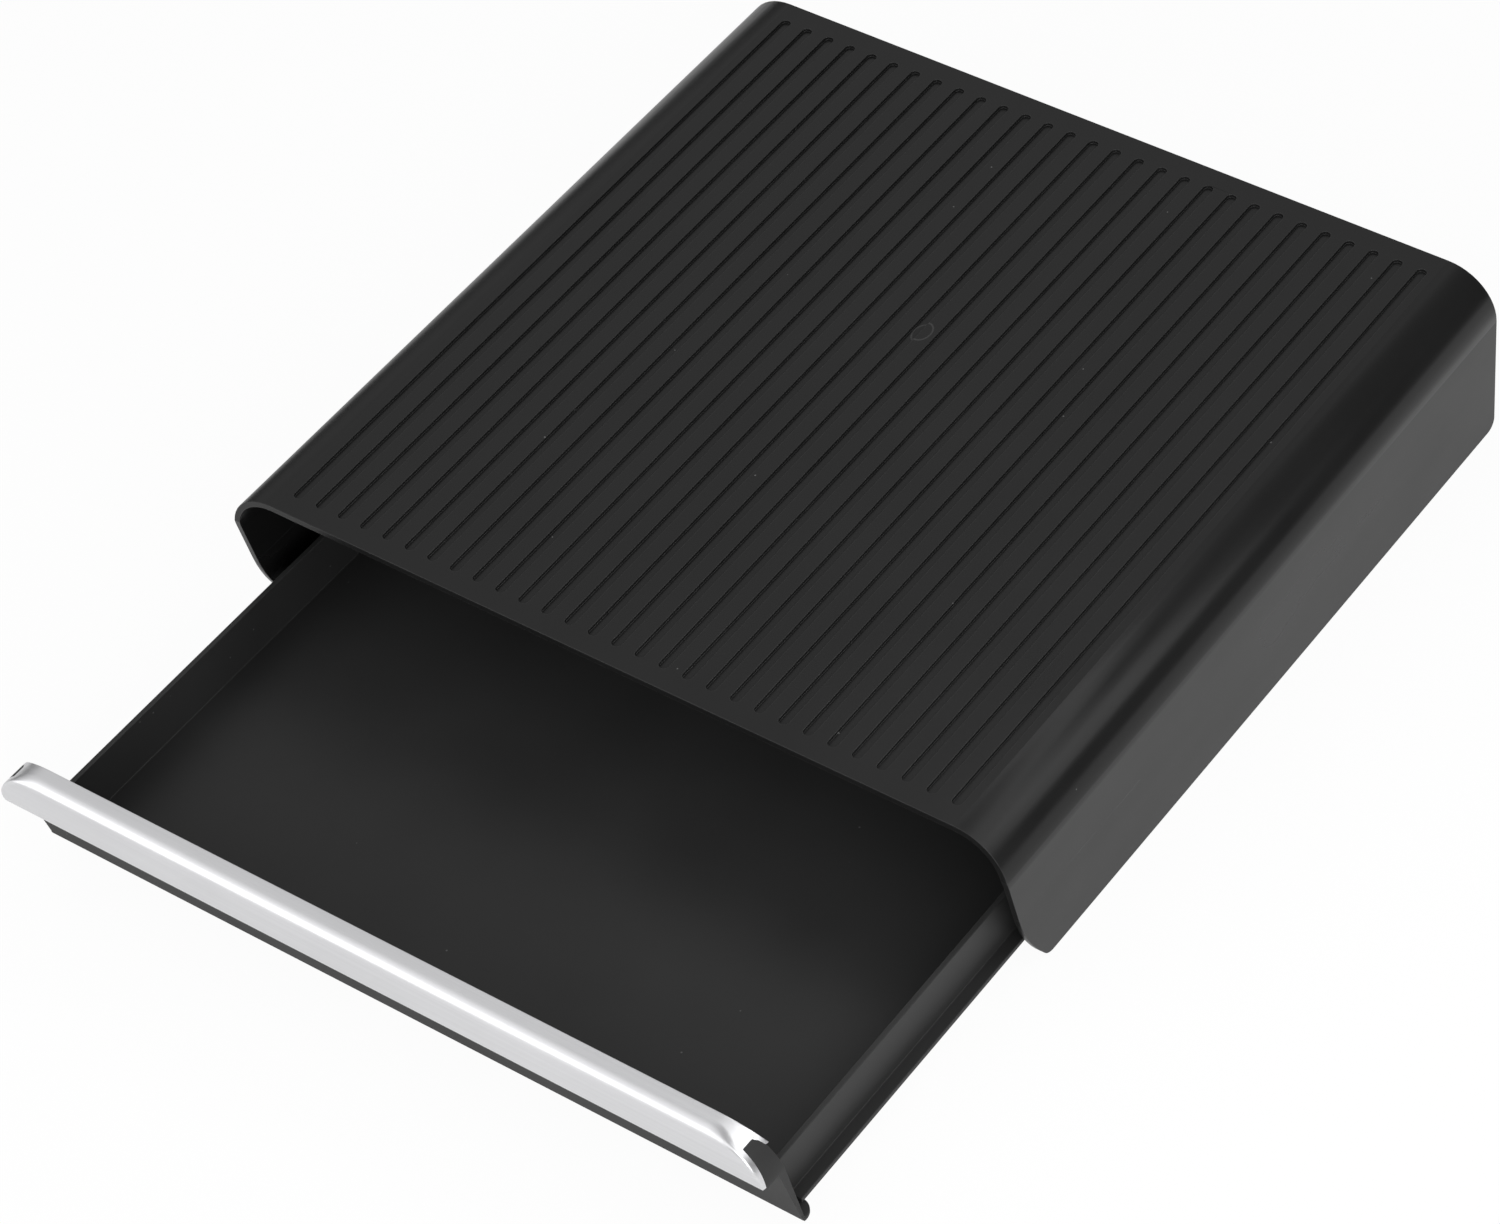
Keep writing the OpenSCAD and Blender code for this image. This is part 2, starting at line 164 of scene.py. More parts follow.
class Nodes:
    """A shader's node tree under construction."""

    def __init__(self, tree: bpy.types.NodeTree) -> None:
        """Takes the tree that the nodes are added to."""
        self.tree = tree

    def node(self, kind: str, settings: dict, sockets: dict) -> bpy.types.Node:
        """Adds one node.

        Args:
            kind: the node's type name.
            settings: its properties, which are set first.
            sockets: values or signals for its inputs, by name or number.

        Returns:
            The new node.
        """
        made = self.tree.nodes.new(kind)
        for key, value in settings.items():
            setattr(made, key, value)
        for key, value in sockets.items():
            self.feed(made.inputs[key], value)
        return made

    def feed(self, socket: bpy.types.NodeSocket, value: Feed) -> None:
        """Sets an input to a constant, or links a signal or a socket to it.

        Args:
            socket: the input.
            value: what it is set to, or what is linked to it.
        """
        if isinstance(value, Signal):
            value = value.socket
        if isinstance(value, bpy.types.NodeSocket):
            self.tree.links.new(value, socket)
        else:
            socket.default_value = value

    def signal(self, kind: str, settings: dict, sockets: dict, output: int | str = 0) -> Signal:
        """Adds one node and returns one of its outputs as a signal."""
        return Signal(self, self.node(kind, settings, sockets).outputs[output])

    def math(self, operation: str, left: Operand, right: Operand) -> Signal:
        """Adds a Math node for two operands."""
        return self.signal("ShaderNodeMath", {"operation": operation}, {0: left, 1: right})

    def position(self, stretch: Point = (1, 1, 1)) -> bpy.types.NodeSocket:
        """Returns the place on the surface in the object's own frame.

        Args:
            stretch: factor along each axis.

        Returns:
            A vector's socket, in metres times the factors.
        """
        place = self.node("ShaderNodeTexCoord", {}, {}).outputs["Object"]
        scaled = self.node("ShaderNodeVectorMath", {"operation": "MULTIPLY"}, {0: place, 1: stretch})
        return scaled.outputs[0]

    def noise(self, scale: float, detail: float = 2, stretch: Point = (1, 1, 1)) -> Signal:
        """Returns fractal noise.

        Args:
            scale: features per metre.
            detail: octaves of finer noise.
            stretch: factor on the scale along each axis.

        Returns:
            The noise, about NOISE_MEAN.
        """
        return self.signal(
            "ShaderNodeTexNoise",
            {},
            {"Vector": self.position(stretch), "Scale": scale, "Detail": detail},
        )

    def specks(self, scale: float, share: float, size: float, solid: float = 0.5) -> Signal:
        """Returns small round specks, scattered at random.

        Args:
            scale: cells per metre.
            share: the share of cells that hold a speck.
            size: a speck's radius as a share of a cell.
            solid: the share of the radius inside which a speck is at its full value.

        Returns:
            1 on a speck and 0 elsewhere.
        """
        cells = self.node("ShaderNodeTexVoronoi", {}, {"Vector": self.position(), "Scale": scale})
        distance = Signal(self, cells.outputs["Distance"])
        chosen = self.signal("ShaderNodeSeparateColor", {}, {"Color": cells.outputs["Color"]})
        return distance.ramp(size, size * solid) * (chosen > 1 - share)

    def edges(self, radius: float) -> Signal:
        """Returns a mask of the convex and the concave edges.

        Args:
            radius: how far from an edge the mask reaches, in metres.

        Returns:
            1 along an edge, fading to 0 at the radius.
        """
        rounded = self.node("ShaderNodeBevel", {"samples": EDGE_SAMPLES}, {"Radius": radius}).outputs[0]
        true = self.node("ShaderNodeNewGeometry", {}, {}).outputs["Normal"]
        turn = self.signal(
            "ShaderNodeVectorMath", {"operation": "DOT_PRODUCT"}, {0: rounded, 1: true}, "Value"
        )
        return turn.ramp(EDGE_STARTS, EDGE_FULL)

    def mix(self, factor: Feed, first: Feed, second: Feed) -> bpy.types.NodeSocket:
        """Returns a colour between two.

        Args:
            factor: how much of the second colour shows.
            first: the colour that lies underneath.
            second: the colour that covers it.

        Returns:
            The mixed colour's socket.
        """
        made = self.node(
            "ShaderNodeMix", {"data_type": "RGBA"}, {"Factor": factor, 6: first, 7: second}
        )
        return made.outputs[2]


class Shader(Nodes):
    """A material under construction: a Principled BSDF and the nodes that feed it."""

    def __init__(self, name: str) -> None:
        """Makes a material with only its Principled BSDF and its output.

        Args:
            name: the material's name.
        """
        self.material = bpy.data.materials.new(name)
        self.material.use_nodes = True
        super().__init__(self.material.node_tree)
        self.surface = self.tree.nodes["Principled BSDF"]

    def bump(self, height: Signal, depth: float) -> None:
        """Feeds the surface's normal from a height signal of the given depth in metres."""
        made = self.node("ShaderNodeBump", {}, {"Height": height, "Distance": depth, "Strength": 1.0})
        self.feed(self.surface.inputs["Normal"], made.outputs[0])

    def set(self, **inputs: Feed) -> None:
        """Feeds the Principled BSDF's inputs, with _ for a space in a name."""
        for key, value in inputs.items():
            self.feed(self.surface.inputs[key.replace("_", " ")], value)


def grey(level: float, blue: float = 0.0) -> Colour:
    """Returns the linear grey that a display shows at a level from 11 to 255.

    Args:
        level: the display level.
        blue: how much more blue the grey holds, as a share.

    Returns:
        Red, green, blue and alpha.
    """
    full, offset, gamma = 255, 0.055, 2.4
    value = ((level / full + offset) / (1 + offset)) ** gamma
    return (value, value, value * (1 + blue), 1.0)


# -------------------------------------------------------------------- finishes


@dataclass(frozen=True)
class SatinPlastic:
    """Moulded black plastic with a fine spark-eroded grain.

    Levels are display levels, scales are features per metre, and a cover is the share by
    which a mark hides what lies under it.
    """

    name: str
    level: float = 23
    darker: float = 5
    lighter: float = 7
    tone: float = 0.4
    roughness: float = 0.31
    shine: float = 0.3

    cloud_scale: float = 18
    cloud_tone: float = 0.8
    cloud_roughness: float = 0.16
    streak_scale: float = 60
    streak_stretch: Point = (1, 0.12, 1)
    streak_roughness: float = 0.10

    grain: float = 0.35 * MM
    grain_depth: float = 0.003 * MM

    dust_scale: float = 160
    dust_share: float = 0.05
    dust_size: float = 0.07
    dust_level: float = 120
    dust_cover: float = 0.6

    # Edges turn lighter: rubbed wear on convex edges, and painted fill light that lifts the shaded walls
    # of grooves and other concave edges.
    edge: float = 0.6 * MM
    edge_wear_and_fill_light: float = 30
    edge_cover: float = 0.55
    edge_polish: float = 0.08

    gate_mark: bool = False
    gate_place: tuple[float, float] = (2.4 * MM, 99.5 * MM)
    gate_half_axes: tuple[float, float] = (3.5 * MM, 4.75 * MM)
    gate_least_height: float = 70 * MM
    gate_line: float = 0.12
    gate_line_core: float = 0.04
    gate_level: float = 70
    gate_cover: float = 0.5

    def gate_ring(self, shader: Shader) -> Signal:
        """Returns a mask of the thin oval ring that the mould's gate leaves on the top.

        Args:
            shader: the material under construction.

        Returns:
            1 on the ring and 0 elsewhere.
        """
        axes = shader.node("ShaderNodeSeparateXYZ", {}, {0: shader.position()}).outputs
        across = (Signal(shader, axes["X"]) - self.gate_place[0]) / self.gate_half_axes[0]
        along = (Signal(shader, axes["Y"]) - self.gate_place[1]) / self.gate_half_axes[1]
        distance = (across * across + along * along) ** 0.5
        inside = distance.ramp(1 - self.gate_line, 1 - self.gate_line_core)
        outside = distance.ramp(1 + self.gate_line, 1 + self.gate_line_core)
        return inside * outside * (Signal(shader, axes["Z"]) > self.gate_least_height)

    def material(self) -> bpy.types.Material:
        """Builds the finish.

        Returns:
            The new material.
        """
        shader = Shader(self.name)
        cloud = shader.noise(self.cloud_scale, detail=3)
        streak = shader.noise(self.streak_scale, detail=4, stretch=self.streak_stretch)
        dust = shader.specks(self.dust_scale, self.dust_share, self.dust_size)
        edge_mask = shader.edges(self.edge)
        grain = shader.noise(1 / self.grain)
        tone = cloud.swing(self.cloud_tone) + self.tone
        base = shader.mix(tone, grey(self.level - self.darker), grey(self.level + self.lighter))
        # lighter edges: wear on convex edges, painted fill light in concave edges and grooves
        base = shader.mix(edge_mask * self.edge_cover, base, grey(self.level + self.edge_wear_and_fill_light))
        base = shader.mix(dust * self.dust_cover, base, grey(self.dust_level))
        if self.gate_mark:
            base = shader.mix(self.gate_ring(shader) * self.gate_cover, base, grey(self.gate_level))
        uneven = self.roughness + cloud.swing(self.cloud_roughness) + streak.swing(self.streak_roughness)
        shader.set(
            Base_Color=base,
            Specular_IOR_Level=self.shine,
            Roughness=uneven - edge_mask * self.edge_polish,
        )
        shader.bump(grain, self.grain_depth)
        return shader.material


@dataclass(frozen=True)
class SilverPaint:
    """Satin silver finish with fine lines along the handle.

    Levels are display levels, and scales are features per metre.
    """

    name: str
    level: float = 216
    darker: float = 10
    lighter: float = 8
    blue: float = 0.02
    tone: float = 0.5
    metallic: float = 0.9
    roughness: float = 0.34

    line_scale: float = 900
    line_stretch: Point = (0.01, 1, 1)
    line_tone: float = 0.9
    line_roughness: float = 0.12
    line_relief: float = 0.6
    cloud_scale: float = 25
    cloud_tone: float = 0.5
    cloud_roughness: float = 0.06
    flake_scale: float = 6000
    flake_relief: float = 0.4
    relief_depth: float = 0.003 * MM

    edge: float = 0.4 * MM
    edge_tone: float = 0.4

    def material(self) -> bpy.types.Material:
        """Builds the finish.

        Returns:
            The new material.
        """
        shader = Shader(self.name)
        lines = shader.noise(self.line_scale, detail=3, stretch=self.line_stretch)
        cloud = shader.noise(self.cloud_scale, detail=3)
        flake = shader.noise(self.flake_scale)
        edge_mask = shader.edges(self.edge)
        tone = lines.swing(self.line_tone) + cloud.swing(self.cloud_tone) + edge_mask * self.edge_tone
        dark = grey(self.level - self.darker, self.blue)
        light = grey(self.level + self.lighter, self.blue)
        shader.set(
            Base_Color=shader.mix(tone + self.tone, dark, light),
            Metallic=self.metallic,
            Roughness=self.roughness
            + lines.swing(self.line_roughness)
            + cloud.swing(self.cloud_roughness),
        )
        shader.bump(lines * self.line_relief + flake * self.flake_relief, self.relief_depth)
        return shader.material


@dataclass(frozen=True)
class FootRubber:
    """Matt black rubber with pale dust in it. Scales are features per metre."""

    name: str
    dark_level: float = 24
    light_level: float = 42
    cloud_scale: float = 120
    cloud_starts: float = 0.35
    cloud_full: float = 0.7
    dust_scale: float = 900
    dust_roughness: float = 0.2
    dust_depth: float = 0.03 * MM
    roughness: float = 0.82

    def material(self) -> bpy.types.Material:
        """Builds the finish.

        Returns:
            The new material.
        """
        shader = Shader(self.name)
        cloud = shader.noise(self.cloud_scale, detail=4).ramp(self.cloud_starts, self.cloud_full)
        dust = shader.noise(self.dust_scale, detail=3)
        shader.set(
            Base_Color=shader.mix(cloud, grey(self.dark_level), grey(self.light_level)),
            Roughness=self.roughness + dust.swing(self.dust_roughness),
        )
        shader.bump(dust, self.dust_depth)
        return shader.material


# ---------------------------------------------------------------------- pieces


@dataclass(frozen=True)
class CadPiece:
    """A CAD node whose shape stays, with its edges rounded and a new finish."""

    node: str
    slot: Slot
    edge_radius: float = 0.3 * MM
    edge_angle: float = math.radians(32)
    edge_segments: int = 3
    weld_distance: float = 0.002 * MM
    flat_angle: float = math.radians(0.3)

    def soften(self, piece: bpy.types.Object) -> None:
        """Adds the modifiers that merge the flat faces and then round the edges.

        Args:
            piece: the CAD node's object.
        """
        weld = piece.modifiers.new("Weld", "WELD")
        weld.merge_threshold = self.weld_distance
        flat = piece.modifiers.new("Flat faces", "DECIMATE")
        flat.decimate_type = "DISSOLVE"
        flat.angle_limit = self.flat_angle
        bevel = piece.modifiers.new("Edges", "BEVEL")
        bevel.width = self.edge_radius
        bevel.segments = self.edge_segments
        bevel.limit_method = "ANGLE"
        bevel.angle_limit = self.edge_angle
        bevel.use_clamp_overlap = False
        bevel.harden_normals = True

    def build(self, material: bpy.types.Material) -> bpy.types.Object:
        """Rounds the node's edges and assigns its finish.

        Args:
            material: the finish.

        Returns:
            The node's object.
        """
        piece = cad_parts[self.node]
        self.soften(piece)
        if not piece.material_slots:
            piece.data.materials.append(None)
        for place in piece.material_slots:
            place.link = "OBJECT"
            place.material = material
        return piece


def blend(first: float, second: float, share: float) -> float:
    """Returns the value that lies the given share of the way from first to second."""
    return first + (second - first) * share


def curve(first: float, middle: float, last: float, share: float) -> float:
    """Returns the value at a share of the way along a quadratic curve of three values."""
    near = (1 - share) ** 2
    return near * first + 2 * share * (1 - share) * middle + share**2 * last


def smooth(value: float, low: float, high: float) -> float:
    """Returns 0 up to low and 1 from high on, with a smooth rise between."""
    share = min(max((value - low) / (high - low), 0.0), 1.0)
    return share * share * (3 - 2 * share)


class Section(NamedTuple):
    """One closed outline across the trim, as four runs of points from the face round."""

    face: list
    outer: list
    inner: list
    back: list


@dataclass(frozen=True)
class HandleTrim:
    """The silver trim: a bulging face, a wrapped top and a lip that hooks round each corner.

    Lengths are in millimetres. X runs across, Y to the rear and H up from the panel's lower
    front edge. The trim follows the panel's arch, which has a straight top and a quarter
    circle at each end, where a place is given by its angle from the top. It is made of
    closed sections, one for each angle, joined from end to end.
    """

    # the arch and the trim's reach
    corner_x: float = 139.75
    corner_h: float = 32.7
    corner_radius: float = 20
    last_angle: float = math.radians(85.5)
    tip_inset: float = 0.9
    underside: float = 33.1
    back: float = -15.7

    # the bulging face, a circle in Y and H
    nose_centre: tuple[float, float] = (23.1, 46.0)
    nose_radius: float = 41.6

    # the fold between the face and the top, with turns in degrees from the top
    fold_inset_top: float = 4.2
    fold_inset_corner: float = 2.2
    fold_inset_end: float = 0.8
    fold_corner_turn: float = 34
    fold_end_turn: float = 68
    fold_reach_top: float = 4.8
    fold_reach_end: float = 1.2
    fold_reach_turns: tuple[float, float] = (4, 44)
    fold_step: float = 0.3

    # the wrapped top, its lip and the core under it
    shell: float = 1.5
    core_chamfer: float = 1.2
    core_stagger: float = 0.01
    core_share_most: float = 0.5
    lip_rear: float = -9.52
    lip_lean: float = math.radians(22)
    lip_round: float = 0.6

    # the hook at each end
    cap_end: float = 12.25
    lip_inner: float = -10.4
    lip_inner_h: float = 49.3
    lip_inner_lean: float = math.radians(28)
    lip_tip_h: float = 45.1
    hook_fillet: float = 1.2
    hook_pull: int = 3
    tip_round: float = 0.7

    # how finely the surface is divided
    cap_sections: int = 14
    end_sections: int = 18
    face_rows: int = 14
    fold_rows: int = 8
    side_rows: int = 6
    lip_rows: int = 5
    round_rows: int = 5
    arc_rows: int = 4
    sharp_angle: float = math.radians(28)

    @property
    def height(self) -> float:
        """The arch's highest H."""
        return self.corner_h + self.corner_radius

    @property
    def nose_reach(self) -> float:
        """How far the face stands out in front of Y 0."""
        return self.nose_radius - self.nose_centre[0]

    def arch_h(self, angle: float, inset: float = 0) -> float:
        """Returns the arch's H at an angle, or the H that lies an inset inside it."""
        return self.corner_h + (self.corner_radius - inset) * math.cos(angle)

    def arch(self, side: int, angle: float, inset: float, y: float) -> Vector:
        """Returns a point by its place on the arch.

        Args:
            side: -1 for the left end, 1 for the right.
            angle: radians from the top of the corner's circle.
            inset: distance inwards from the arch.
            y: distance to the rear.

        Returns:
            The point as X, Y and H.
        """
        x = self.corner_x + (self.corner_radius - inset) * math.sin(angle)
        return Vector((side * x, y, self.arch_h(angle, inset)))

    def nose_y(self, height: float) -> float:
        """Returns the bulging face's Y at a height."""
        rise = height - self.nose_centre[1]
        return self.nose_centre[0] - math.sqrt(self.nose_radius**2 - rise**2)

    def nose_slope(self, height: float) -> float:
        """Returns how fast the bulging face's Y grows with height."""
        rise = height - self.nose_centre[1]
        return rise / math.sqrt(self.nose_radius**2 - rise**2)

    def rear_y(self, height: float) -> float:
        """Returns the Y of the leaning rear face at a height."""
        return self.lip_rear + math.tan(self.lip_lean) * (self.height - height)

    def inner_y(self, height: float) -> float:
        """Returns the Y of the lip's leaning inner edge at a height."""
        return self.lip_inner + math.tan(self.lip_inner_lean) * (self.lip_inner_h - height)

    def fold(self, angle: float) -> list[tuple[float, float]]:
        """Returns the rounding between the face and the top.

        Args:
            angle: the section's angle.

        Returns:
            Pairs of inset and Y, from the face up.
        """
        turn = math.degrees(angle)
        to_corner = smooth(turn, 0, self.fold_corner_turn)
        to_end = smooth(turn, self.fold_corner_turn, self.fold_end_turn)
        inset = blend(self.fold_inset_top, self.fold_inset_corner, to_corner)
        inset = blend(inset, self.fold_inset_end, to_end)
        reach = blend(self.fold_reach_top, self.fold_reach_end, smooth(turn, *self.fold_reach_turns))
        height = self.arch_h(angle, inset)
        low = self.nose_y(height)
        middle = low + self.nose_slope(height) * math.cos(angle) * inset
        points = []
        for row in range(self.fold_rows + 1):
            share = row / self.fold_rows
            points.append((curve(inset, 0, 0, share), curve(low, middle, middle + reach, share)))
        return points

    def hook(self) -> list[tuple[float, float]]:
        """Returns the free edge of the wrapped top.

        Returns:
            Pairs of angle and Y, from the face to the lip's tip.
        """
        first = math.asin(self.cap_end / self.corner_radius)
        tip = math.acos((self.lip_tip_h - self.corner_h) / self.corner_radius)
        fillet = self.hook_fillet
        start_y = self.inner_y(self.arch_h(first))
        edge = []
        for row in range(self.side_rows + 1):
            edge.append((first, blend(self.back, start_y - fillet, row / self.side_rows)))
        for row in range(1, self.arc_rows + 1):
            turn = math.pi / 2 * row / self.arc_rows
            out = fillet * (1 - math.cos(turn)) / self.corner_radius
            edge.append((first + out, start_y - fillet * (1 - math.sin(turn))))
        after_fillet = edge[-1][0]
        last = tip - self.tip_round / self.corner_radius
        for row in range(1, self.lip_rows + 1):
            angle = blend(after_fillet, last, row / self.lip_rows)
            edge.append((angle, self.inner_y(self.arch_h(angle))))
        low_y = edge[-1][1]
        high_y = self.rear_y(self.lip_tip_h) - self.lip_round
        for row in range(1, self.arc_rows + 1):
            turn = math.pi / 2 * row / self.arc_rows
            angle = last + self.tip_round * math.sin(turn) / self.corner_radius
            edge.append((angle, blend(low_y, high_y, 1 - math.cos(turn))))
        return edge

    def cap(self, side: int, number: int, angle: float, start_y: float) -> tuple[list, list]:
        """Returns one section's points on the wrapped top.

        Args:
            side: -1 for the left end, 1 for the right.
            number: the section's number, from the straight top.
            angle: the section's angle.
            start_y: where the points start behind the fold.

        Returns:
            The outer points from the front, and the inner points from the rear.
        """
        edge = self.hook()
        pull = (number / self.cap_sections) ** self.hook_pull
        outer, inner = [], []
        for row, (edge_angle, edge_y) in enumerate(edge):
            place = blend(angle, edge_angle, pull)
            end_y = self.rear_y(self.arch_h(place)) - self.lip_round
            y = blend(blend(start_y, end_y, row / (len(edge) - 1)), edge_y, pull)
            if row == len(edge) - 1:
                y = end_y
            outer.append(self.arch(side, place, 0, y))
            # the inner points keep clear of the core's chamfer and apart from each other
            deep = max(y, self.back + self.core_chamfer * (1 + self.core_stagger * row))
            inner.append(self.arch(side, place, self.shell, deep))
        for row in range(1, self.round_rows):
            turn = math.pi / 2 * row / self.round_rows
            inset = self.shell * (1 - math.cos(turn))
            outer.append(self.arch(side, place, inset, y + self.lip_round * math.sin(turn)))
        inner[-1] = self.arch(side, place, self.shell, y + self.lip_round)
        return outer, inner[::-1]

    def section(self, side: int, number: int) -> Section:
        """Returns one section's points.

        Args:
            side: -1 for the left end, 1 for the right.
            number: 0 at the straight top, rising to the end.

        Returns:
            The section, which has no inner points beyond the hook.
        """
        cap_angle = math.asin(self.cap_end / self.corner_radius)
        if number <= self.cap_sections:
            angle = cap_angle * number / self.cap_sections
        else:
            angle = blend(cap_angle, self.last_angle, (number - self.cap_sections) / self.end_sections)
        fold = self.fold(angle)
        top = self.arch(side, angle, *fold[0])
        tip_x = self.corner_x + self.corner_radius - self.tip_inset
        foot_x = blend(self.corner_x, tip_x, angle / self.last_angle)
        face = []
        for row in range(self.face_rows):
            share = row / self.face_rows
            height = blend(self.underside, top.z, share)
            x = blend(side * foot_x, top.x, share)
            face.append(Vector((x, self.nose_y(height), height)))
        face += [self.arch(side, angle, inset, y) for inset, y in fold]
        rim = self.arch(side, angle, 0, self.back)
        foot = Vector((side * foot_x, self.back, self.underside))
        share = min((self.shell + self.core_chamfer) / (foot - rim).length, self.core_share_most)
        back = [rim.lerp(foot, share), foot]
        if number > self.cap_sections:
            return Section(face, [rim], [], back)
        start_y = max(self.back, fold[-1][1] + self.fold_step)
        outer, inner = self.cap(side, number, angle, start_y)
        return Section(face, outer, inner, back)

    def join(self, mesh: bmesh.types.BMesh, first: Section, second: Section) -> None:
        """Adds the band of faces between two neighbouring sections.

        Args:
            mesh: the mesh under construction.
            first: the section on the left.
            second: the section on the right.
        """
        wrapped = bool(first.inner) and bool(second.inner)
        loops = []
        for face, outer, inner, back in (first, second):
            loops.append(face + outer + inner + back if wrapped else face + outer[:1] + back)
        count = len(loops[0])
        for row in range(count):
            ahead = (row + 1) % count
            mesh.faces.new((loops[0][row], loops[0][ahead], loops[1][ahead], loops[1][row]))

    def close_hook(self, mesh: bmesh.types.BMesh, section: Section) -> None:
        """Adds the free edge of the wrapped top.

        Args:
            mesh: the mesh under construction.
            section: the last section at this end that has inner points.
        """
        outer, under = section.outer, section.inner[::-1]
        last = len(under) - 1
        for row in range(last):
            mesh.faces.new((outer[row], outer[row + 1], under[row + 1], under[row]))
        mesh.faces.new(outer[last:] + [under[last]])
        mesh.faces.new((outer[0], under[0], section.back[0]))

    def fill(self, mesh: bmesh.types.BMesh) -> None:
        """Adds the closed trim to a mesh.

        Args:
            mesh: the mesh under construction, in millimetres.
        """
        numbers = list(range(self.cap_sections + self.end_sections + 1))
        order = [(-1, number) for number in reversed(numbers)] + [(1, number) for number in numbers]
        sections = []
        for side, number in order:
            runs = self.section(side, number)
            sections.append(Section(*([mesh.verts.new(point) for point in run] for run in runs)))
        for first, second in zip(sections, sections[1:]):
            self.join(mesh, first, second)
        for end in (sections[0], sections[-1]):
            mesh.faces.new(end.face + end.outer + end.back)
        for place in (self.end_sections, len(numbers) + self.cap_sections):
            self.close_hook(mesh, sections[place])
        bmesh.ops.recalc_face_normals(mesh, faces=mesh.faces)

    def build(self, material: bpy.types.Material) -> bpy.types.Object:
        """Builds the trim where its CAD node is, and dresses it.

        Args:
            material: the finish.

        Returns:
            The new object.
        """
        low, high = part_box("handle_trim")
        origin = Vector((0, low[1] + self.nose_reach * MM, high[2] - self.height * MM))
        shape = bmesh.new()
        self.fill(shape)
        placed = Matrix.Translation(origin) @ Matrix.Scale(MM, 4)
        bmesh.ops.transform(shape, matrix=placed, verts=shape.verts)
        mesh = bpy.data.meshes.new("handle_trim_shell")
        shape.to_mesh(mesh)
        shape.free()
        mesh.polygons.foreach_set("use_smooth", [True] * len(mesh.polygons))
        mesh.set_sharp_from_angle(angle=self.sharp_angle)
        mesh.materials.append(material)
        piece = bpy.data.objects.new("handle_trim_shell", mesh)
        bpy.context.scene.collection.objects.link(piece)
        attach(piece, Body.DRAWER.value)
        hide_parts("handle_trim")
        return piece


# -------------------------------------------------------------- sub-assemblies


@dataclass(frozen=True)
class Cover:
    """The fixed cover: its grooved shell and four rubber feet."""

    shell_edge: float = 0.15 * MM
    # The cover's edges are lifted further, mostly as painted fill light that lightens the shaded walls
    # of its top grooves.
    shell_finish: SatinPlastic = SatinPlastic(
        "Black cover plastic", shine=0.235, edge_wear_and_fill_light=46, gate_mark=True
    )
    foot_finish: FootRubber = FootRubber("Foot rubber")

    body: Body = Body.COVER

    def build(self) -> list[bpy.types.Object]:
        """Dresses the shell and the feet.

        Returns:
            The pieces, the shell first.
        """
        shell = CadPiece("cover_shell", Slot.PLASTIC, edge_radius=self.shell_edge)
        pieces = [shell.build(self.shell_finish.material())]
        rubber = self.foot_finish.material()
        for end in ("front", "rear"):
            for side in ("left", "right"):
                pieces.append(CadPiece(f"foot_{end}_{side}", Slot.RUBBER).build(rubber))
        return pieces


@dataclass(frozen=True)
class Drawer:
    """The sliding drawer: its tray, its front panel and the trim on the panel."""

    tray_finish: SatinPlastic = SatinPlastic("Black tray plastic", level=46, roughness=0.45, shine=0.15)
    panel_finish: SatinPlastic = SatinPlastic("Black panel plastic", level=52, roughness=0.55, shine=0.1)
    trim_finish: SilverPaint = SilverPaint("Silver trim")
    trim: HandleTrim = HandleTrim()

    body: Body = Body.DRAWER

    def build(self) -> list[bpy.types.Object]:
        """Dresses the tray and the panel, and builds the trim.

        Returns:
            The pieces, from the rear to the front.
        """
        tray = CadPiece("drawer_tray", Slot.PLASTIC).build(self.tray_finish.material())
        panel = CadPiece("front_panel", Slot.PLASTIC).build(self.panel_finish.material())
        return [tray, panel, self.trim.build(self.trim_finish.material())]


# ----------------------------------------------------------------------- stage


@dataclass(frozen=True)
class Softbox:
    """A rectangular studio lamp aimed at a point."""

    name: str
    place: Point
    aim: Point
    width: float
    height: float
    radiance: float

    def build(self) -> None:
        """Adds the lamp; its power follows from its area and radiance."""
        lamp = bpy.data.lights.new(self.name, "AREA")
        lamp.shape = "RECTANGLE"
        lamp.size = self.width
        lamp.size_y = self.height
        lamp.energy = self.radiance * math.pi * self.width * self.height
        holder = bpy.data.objects.new(self.name, lamp)
        bpy.context.scene.collection.objects.link(holder)
        holder.location = self.place
        ray = Vector(self.aim) - Vector(self.place)
        holder.rotation_euler = ray.to_track_quat("-Z", "Y").to_euler()


SHOULDER = (0.155, -0.15, 0.07)
MIDDLE = (0.0, -0.05, 0.04)
TRAY = (0.0, -0.15, 0.05)
TRIM_MIDDLE = (0.0, -0.22, 0.05)
TRIM_END = (0.155, -0.22, 0.05)
TRIM_FOLD_END = (0.15, -0.22, 0.06)

# The lamps that are aimed at the trim are there for it to mirror.
LAMPS = (
    Softbox("Side softbox", (0.64, 0.22, 0.53), SHOULDER, width=0.42, height=0.31, radiance=2.3),
    Softbox("End softbox", (0.26, 0.10, 0.54), TRIM_FOLD_END, width=0.60, height=0.14, radiance=2.4),
    Softbox("Key softbox", (1.20, -0.86, 0.60), MIDDLE, width=1.7, height=1.0, radiance=2.6),
    Softbox("Top softbox", (-0.66, -0.70, 1.20), TRAY, width=1.1, height=1.1, radiance=0.45),
    Softbox("Front strip", (-0.46, -0.90, 0.40), TRIM_MIDDLE, width=0.85, height=0.85, radiance=0.88),
    Softbox("Corner box", (0.45, -0.27, 0.52), TRIM_END, width=0.32, height=0.32, radiance=1.5),
    Softbox("Front corner box", (0.30, -0.88, 0.42), TRIM_END, width=0.6, height=0.5, radiance=1.1),
)


